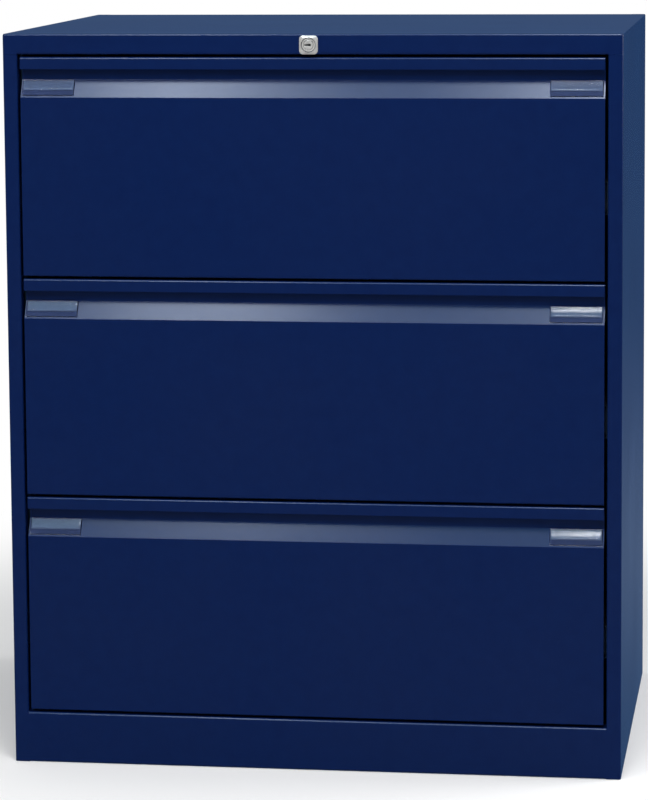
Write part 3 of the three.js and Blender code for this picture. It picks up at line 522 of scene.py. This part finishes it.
around = circle(1.0)
slot_x = np.sign(around[:, 0]) * (KEYWAY_WIDTH - KEYWAY_HEIGHT) / 2 + around[:, 0] * KEYWAY_HEIGHT / 2
slot_swell = 1 + KEYWAY_SWELL * np.tanh(slot_x / KEYWAY_TAPER)
slot_outline = np.stack([KEYWAY_SHIFT + slot_x, around[:, 1] * slot_swell * KEYWAY_HEIGHT / 2], -1)
lip = circle(plug_radius - PLUG_EDGE)
plug_rows = [circle(plug_radius)] + [circle(plug_radius - d) for d in PLUG_EDGE * edge_in]
plug_rows += [lip + (slot_outline - lip) * m for m in PLUG_FACE] + [slot_outline] * 2
plug_depths = np.concatenate([[plug_high.y], plug_low.y + PLUG_EDGE * edge_down,
                              [plug_low.y] * len(PLUG_FACE),
                              [plug_low.y + KEYWAY_BREAK, plug_low.y + KEYWAY_DEPTH]])
piece("lock_key_plug", [skin(on_lock(plug_rows, plug_depths))], nickel, "lock_cylinder", "chrome",
      "lock_plug")

wafer_outline = (slot_outline - (KEYWAY_SHIFT, 0)) * WAFER_FIT + (KEYWAY_SHIFT, 0)
wafer_faces = plug_low.y + WAFER_FROM + WAFER_PITCH * np.arange(WAFER_COUNT)
wafers = [skin(on_lock([wafer_outline] * 2, [y, y + WAFER_THICKNESS])) for y in wafer_faces]
piece("lock_wafer_tumblers", wafers, oiled_steel(), "lock_cylinder", "chrome")

for name in ("lock_nut", "rod_bracket", "lower_bar_guide", "upper_bar_guide", "lock_bar"):
    cad[name].material_slots[0].material = zinc_upright
cad["lock_rod"].material_slots[0].material = zinc_lengthwise


# Drawer bodies. Trays folded from thinner sheet, painted inside and out, the tops of their sides turned in
# and up as rails for hanging files; a zinc-plated rail runs down the middle, and the lock's catch is on the
# back.
for drawer in DRAWERS:
    cad[f"{drawer}_drawer_body"].material_slots[0].material = enamel
    cad[f"{drawer}_centre_rail"].material_slots[0].material = zinc_lengthwise
    cad[f"{drawer}_lock_catch"].material_slots[0].material = zinc_upright


# Drawer fronts. One strip of 0.9 mm sheet folded into the bottom flange, the front, the slant, the back wall
# of the finger recess, its roof, and a lip with a closed hem, and painted; plates welded in behind the slant
# close its ends.
DRAWER_SHEET = 0.0009
DRAWER_FOLD = 0.0016
LIP_HEIGHT = 0.017
LIP_HEM = 0.009
LIP_FOLD = 0.0026
HEM_GAP = 0.0004
SLANT_DROP = 0.0555
SLANT_RISE = 0.024
SLANT_FOLD = 0.0025
END_INSET = 0.0001

mid = DRAWER_SHEET / 2
front_folds = [DRAWER_FOLD, DRAWER_FOLD, SLANT_FOLD, DRAWER_FOLD, LIP_FOLD, HEM_GAP / 2, HEM_GAP / 2]
front_guards = [FLAT_GUARD] * 5 + [0] * 2
for drawer in DRAWERS:
    low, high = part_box(f"{drawer}_drawer_front")
    face, wall = low.y + mid, high.y - mid
    slant_foot = high.z - SLANT_DROP
    slant_head = slant_foot + SLANT_RISE
    lip_foot = high.z - LIP_HEIGHT + mid
    hem = face + DRAWER_SHEET + HEM_GAP
    strip = [(high.y, low.z + mid), (face, low.z + mid), (face, slant_foot), (wall, slant_head),
             (wall, high.z - mid), (face, high.z - mid), (face, lip_foot), (hem, lip_foot),
             (hem, lip_foot + LIP_HEM)]
    parts = [folded(strip, front_folds, DRAWER_SHEET, "x", [low.x, high.x], front_guards)]
    end_shape = np.array([[(face, low.z + mid), (face, slant_foot), (wall, slant_head)],
                          [(high.y, low.z + mid), (high.y, slant_foot), (high.y, slant_head)]])
    for x in (low.x + END_INSET, high.x - END_INSET - DRAWER_SHEET):
        column = np.full((*end_shape.shape[:2], 1), x)
        sides = [np.concatenate([column + deep, end_shape], -1) for deep in (0, DRAWER_SHEET)]
        parts.append(slab(*sides))
    piece(f"{drawer}_folded_front", parts, enamel, f"{drawer}_drawer", "paint", f"{drawer}_drawer_front")


# Label holders. A clear moulded lens pressed on to the slant at each end, with bevelled ends, a ridge below
# its middle and a hollow face above it; a blank card lies behind that face, and an adhesive pad holds the
# lens on. The pad's dark navy is painted shade: seen through the lower bevel, it darkens that band as shade
# would.
LABEL_HEIGHT = 0.024
LABEL_EDGE = 0.0012
LABEL_TOP = 0.0024
LABEL_DEPTH = 0.0046
LABEL_RIDGE = 0.38 * LABEL_HEIGHT
LABEL_BEVEL = 0.0035
LABEL_SOFT = 0.00016
LABEL_FILLET = 0.0009
FILLET_POINTS, BEVEL_POINTS, HEIGHT_POINTS, WIDTH_POINTS = 7, 14, 61, 25
BEVEL_SPAN = 1.4 * LABEL_BEVEL
CARD_THICKNESS = 0.0004
CARD_LAP = 0.001
CARD_BEHIND, PAD_BEHIND = 0.0010, 0.0002
TAPE_MARGIN = 0.0012
CARD_COLUMNS, CARD_ROWS = 13, 7


def clear_moulding():
    """Clear moulded plastic with a faint blue cast and the fine flow marks of the moulding."""
    material, tree, shader, place = finish_of("clear_moulding")
    flow = noise(tree, place, 90.0, 3.0)
    feed(tree, shader, {
        "Base Color": linear(232, 238, 246),
        "Transmission Weight": 1.0,
        "IOR": 1.49,
        "Roughness": between(tree, flow, 0.10, 0.17, (0.0, 1.0)),
        "Normal": bump(tree, flow, 0.02, 0.0006),
    })
    return material


def pulp_card(name, dark, light):
    """Card, or paper tape whose dark tone is painted shade, with the faint mottle of its pulp."""
    material, tree, shader, place = finish_of(name)
    pulp = noise(tree, place, 260.0, 5.0)
    feed(tree, shader, {"Base Color": two_tones(tree, pulp, dark, light), "Roughness": 0.8})
    return material


def soft_min(*heights):
    """Lowest of several heights with the crease between them rounded: -k log(sum of exp(-h / k))."""
    return -LABEL_SOFT * np.log(sum(np.exp(-h / LABEL_SOFT) for h in heights))


def filleted(depth, u, v, width):
    """Rounds the border of a lens: within the fillet's radius r of the border its face falls by
    r - sqrt(r^2 - q^2), where q is the distance past the fillet's centre line over both directions, at most
    r."""
    past_end = np.clip(LABEL_FILLET - np.minimum(u, width - u), 0, None)
    past_edge = np.clip(LABEL_FILLET - np.minimum(v, LABEL_HEIGHT - v), 0, None)
    past = np.minimum(np.hypot(past_end, past_edge), LABEL_FILLET)
    return depth - LABEL_FILLET + np.sqrt(LABEL_FILLET ** 2 - past ** 2)


def lens_depth(u, v, width):
    """Depth of a lens over its back: the lowest of the face below the ridge, which rises evenly to it, the
    face above, which rises with the square of the way down from the top, and the two bevelled ends."""
    below = LABEL_EDGE + (LABEL_DEPTH - LABEL_EDGE) * v / LABEL_RIDGE
    from_top = (LABEL_HEIGHT - v) / (LABEL_HEIGHT - LABEL_RIDGE)
    above = LABEL_TOP + (LABEL_DEPTH - LABEL_TOP) * from_top ** 2
    ends = LABEL_EDGE + (LABEL_DEPTH - LABEL_EDGE) * np.minimum(u, width - u) / LABEL_BEVEL
    return filleted(soft_min(below, above, ends), u, v, width)


clear = clear_moulding()
card_stock = pulp_card("blank_card", (50, 65, 92), (57, 72, 100))
# The pad's dark navy tape is painted shade, seen through the lower bevel of each lens.
painted_shade_pad = pulp_card("adhesive_tape_painted_shade", (16, 34, 70), (20, 39, 78))
backings = (("blank_card", card_stock, LABEL_RIDGE - CARD_LAP, CARD_BEHIND),
            ("adhesive_pad", painted_shade_pad, TAPE_MARGIN, PAD_BEHIND))
border = LABEL_FILLET * (1 - np.cos(np.linspace(0, np.pi / 2, FILLET_POINTS)))
from_end = np.concatenate([border, np.linspace(LABEL_FILLET, BEVEL_SPAN, BEVEL_POINTS)[1:]])
along = np.concatenate([border, np.linspace(LABEL_FILLET, LABEL_HEIGHT - LABEL_FILLET, HEIGHT_POINTS)[1:-1],
                        (LABEL_HEIGHT - border)[::-1]])
for drawer in DRAWERS:
    low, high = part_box(f"{drawer}_drawer_front")
    tilt = math.atan2(high.y - low.y - DRAWER_SHEET, SLANT_RISE)
    up = np.array([0, math.sin(tilt), math.cos(tilt)])
    off = np.array([0, -math.cos(tilt), math.sin(tilt)])
    for side in ("left", "right"):
        node = f"{drawer}_label_holder_{side}"
        low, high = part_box(node)
        width = high.x - low.x
        corner = np.array([low.x, high.y - LABEL_HEIGHT * math.sin(tilt), low.z])
        across = np.concatenate([from_end, np.linspace(BEVEL_SPAN, width - BEVEL_SPAN, WIDTH_POINTS)[1:-1],
                                 (width - from_end)[::-1]])
        u, v = np.meshgrid(across, along, indexing="ij")
        flat = corner + u[..., None] * (1, 0, 0) + v[..., None] * up
        lens = slab(flat + lens_depth(u, v, width)[..., None] * off, flat)
        holder = piece(f"{drawer}_{side}_clear_label_holder", [lens], clear, f"{drawer}_drawer", "clear",
                       node)
        holder.visible_shadow = False
        for name, stock, bottom, behind in backings:
            u, v = np.meshgrid(np.linspace(TAPE_MARGIN, width - TAPE_MARGIN, CARD_COLUMNS),
                               np.linspace(bottom, LABEL_HEIGHT - TAPE_MARGIN, CARD_ROWS), indexing="ij")
            sheet = corner + u[..., None] * (1, 0, 0) + v[..., None] * up
            card = slab(sheet + (behind + CARD_THICKNESS) * off, sheet + behind * off)
            piece(f"{drawer}_{side}_{name}", [card], stock, f"{drawer}_drawer", "nylon")


# Floor and light. A pale floor that keeps the shadow and runs out into white, and six softboxes. Reflections
# see a dim graded room, as in a flagged studio, and rays straight through a clear lens see the white one.
FLOOR_RADIUS = 2.6
FLOOR_CORE = 0.02
FLOOR_GAP = 0.0005
FLOOR_RINGS, FLOOR_SPOKES = 8, 48
FLOOR_FADE = (0.75, 1.7)
FLOOR_TONE = (0.92, 0.92, 0.92, 1)
WHITE = (1, 1, 1, 1)
AMBIENT = (0.48, 0.48, 0.48, 1)
BEHIND_BAND = (-0.1, 0.5)
LENS_DEPTH = 2.5
REAR_GLOW = ((-0.25, (0.05, 0.115, 0.245)), (-0.2, (0.145, 0.22, 0.36)), (-0.165, (0.085, 0.145, 0.275)),
             (-0.13, (0.04, 0.09, 0.2)), (0.0, (0.022, 0.07, 0.18)), (0.12, (0.09, 0.155, 0.28)),
             (0.45, (0.1, 0.16, 0.27)), (0.85, (0.4, 0.6, 0.8)))
FORE_GLOW = ((-0.3, (0.02, 0.04, 0.08)), (0.25, (0.02, 0.04, 0.08)), (0.6, (0.2, 0.35, 0.5)),
             (0.75, (0.4, 0.8, 1.05)), (0.84, (0.65, 1.15, 1.45)))

scene = bpy.context.scene
rings = np.linspace(FLOOR_CORE, 1, FLOOR_RINGS)[:, None] * FLOOR_RADIUS
spokes = np.arange(FLOOR_SPOKES)[None, :] * 2 * np.pi / FLOOR_SPOKES
floor_grid = np.stack(np.broadcast_arrays(rings * np.cos(spokes), rings * np.sin(spokes),
                                          floor_level - FLOOR_GAP), -1)
number = np.arange(FLOOR_RINGS * FLOOR_SPOKES).reshape(FLOOR_RINGS, FLOOR_SPOKES)
floor_quads = np.stack([number[:-1], np.roll(number[:-1], -1, 1),
                        np.roll(number[1:], -1, 1), number[1:]], -1)
floor_faces = floor_quads.reshape(-1, 4)[:, ::-1].tolist() + [number[0].tolist()]
floor_mesh = bpy.data.meshes.new("studio_floor")
floor_mesh.from_pydata(floor_grid.reshape(-1, 3), [], floor_faces)
studio_floor = bpy.data.objects.new("studio_floor", floor_mesh)
scene.collection.objects.link(studio_floor)
studio_floor.visible_glossy = False


def combined(tree, operation, one, other):
    """Result of a math operation on two values."""
    return add(tree, "Math", {0: one, 1: other}, operation=operation).outputs[0]


def mixed(tree, share, one, other):
    """Colour that is one at a share of 0 and the other at a share of 1."""
    return add(tree, "Mix", {0: share, 6: one, 7: other}, data_type="RGBA").outputs[2]


def eased(tree, value, band):
    """Value from 0 to 1 that eases in and out while another goes through a band."""
    inputs = {"Value": value, "From Min": band[0], "From Max": band[1]}
    return add(tree, "MapRange", inputs, interpolation_type="SMOOTHSTEP").outputs["Result"]


def glow(tree, rise, stops):
    """Colour of a wall by the rise of the ray, from -1 straight down to 1 straight up."""
    ramp = add(tree, "ValToRGB", {"Fac": rise})
    for k, (level, colour) in enumerate(stops):
        stop = ramp.color_ramp.elements[k] if k < 2 else ramp.color_ramp.elements.new(1.0)
        stop.position = (level + 1) / 2
        stop.color = (*colour, 1)
    return ramp.outputs["Color"]


paper, tree, shader, place = finish_of("studio_paper")
feed(tree, shader, {"Base Color": FLOOR_TONE, "Roughness": 0.9})
distance = add(tree, "VectorMath", {0: place}, operation="LENGTH").outputs["Value"]
camera_ray = add(tree, "LightPath").outputs["Is Camera Ray"]
faded = combined(tree, "MULTIPLY", eased(tree, distance, FLOOR_FADE), camera_ray)
white = add(tree, "Emission", {"Strength": 1.0}).outputs[0]
blend = add(tree, "MixShader", {0: faded, 1: shader.outputs[0], 2: white}).outputs[0]
feed(tree, tree.nodes["Material Output"], {"Surface": blend})
floor_mesh.materials.append(paper)

room = bpy.data.worlds.new("studio_room")
scene.world = room
room.use_nodes = True
tree = room.node_tree
ray = add(tree, "LightPath").outputs
toward = add(tree, "SeparateXYZ", {0: add(tree, "TexCoord").outputs["Generated"]}).outputs
rise = between(tree, toward["Z"], 0.0, 1.0, (-1.0, 1.0))
behind = eased(tree, toward["Y"], BEHIND_BAND)
walls = mixed(tree, behind, glow(tree, rise, FORE_GLOW), glow(tree, rise, REAR_GLOW))
not_scattered = combined(tree, "LESS_THAN", ray["Diffuse Depth"], 0.5)
by_sight = combined(tree, "MAXIMUM", ray["Is Glossy Ray"], ray["Is Transmission Ray"])
lit = mixed(tree, combined(tree, "MULTIPLY", by_sight, not_scattered), AMBIENT, walls)
one_lens = combined(tree, "LESS_THAN", ray["Transmission Depth"], LENS_DEPTH)
through = combined(tree, "MULTIPLY", ray["Is Transmission Ray"], one_lens)
straight = combined(tree, "MAXIMUM", ray["Is Camera Ray"], through)
feed(tree, tree.nodes["Background"], {"Color": mixed(tree, straight, lit, WHITE)})


def softbox(name, place, target, size, brightness, mirrored=True):
    """Rectangular lamp of an even brightness, where 1 is white: its power is brightness times pi times its
    area. The paint may mirror it or not."""
    lamp = bpy.data.lights.new(name, "AREA")
    lamp.shape = "RECTANGLE"
    lamp.size, lamp.size_y = size
    lamp.energy = brightness * math.pi * size[0] * size[1]
    stand = bpy.data.objects.new(name, lamp)
    scene.collection.objects.link(stand)
    stand.location = place
    aim = Vector(target) - Vector(place)
    stand.rotation_euler = aim.to_track_quat("-Z", "Y").to_euler()
    stand.visible_camera = False
    stand.visible_glossy = mirrored


# The slants mirror the first two, the label lenses the next two and the right side the fifth.
softbox("left_softbox", (-0.66, -1.78, 3.0), (-0.75, -0.3, 0.8), (0.32, 1.1), 13.5)
softbox("right_softbox", (0.445, -1.50, 3.0), (0.445, -0.3, 0.8), (0.59, 0.75), 16.0)
softbox("label_softbox", (0.17, -1.15, 3.0), (0.17, -0.3, 0.8), (0.30, 0.36), 6.0)
softbox("glint_softbox", (-1.29, -3.6, 3.0), (-1.29, -0.3, 0.8), (0.14, 0.30), 24.0)
softbox("side_softbox", (3.0, 0.6, 1.6), (0.4, 0.0, 0.5), (1.4, 1.6), 7.0)
softbox("fill_softbox", (0.3, -4.0, 3.6), (0.0, 0.0, 0.6), (2.4, 1.6), 8.2, mirrored=False)


# Camera. At the height and angle of the photograph, on a long lens that is shifted a little so that the
# uprights stay nearly parallel.
CAMERA_PLACE = (0.6600, -4.7467, 1.2274)
CAMERA_TURN, CAMERA_DIP, CAMERA_ROLL = 0.1436, 0.1198, -0.0072
FOCAL_PIXELS, IMAGE_HEIGHT = 3328.0, 800
SENSOR_WIDTH = 36.0
LENS_SHIFT = 0.0, -0.155

view = bpy.data.cameras.new("photo_view")
view.sensor_width = SENSOR_WIDTH
view.lens = FOCAL_PIXELS * SENSOR_WIDTH / IMAGE_HEIGHT
view.shift_x, view.shift_y = LENS_SHIFT
camera = bpy.data.objects.new("photo_view", view)
scene.collection.objects.link(camera)
camera.location = CAMERA_PLACE
facing = Euler((math.pi / 2 - CAMERA_DIP, 0, CAMERA_TURN)).to_matrix() @ Matrix.Rotation(CAMERA_ROLL, 3, "Z")
camera.rotation_euler = facing.to_euler()
scene.camera = camera
scene.view_settings.view_transform = "Standard"
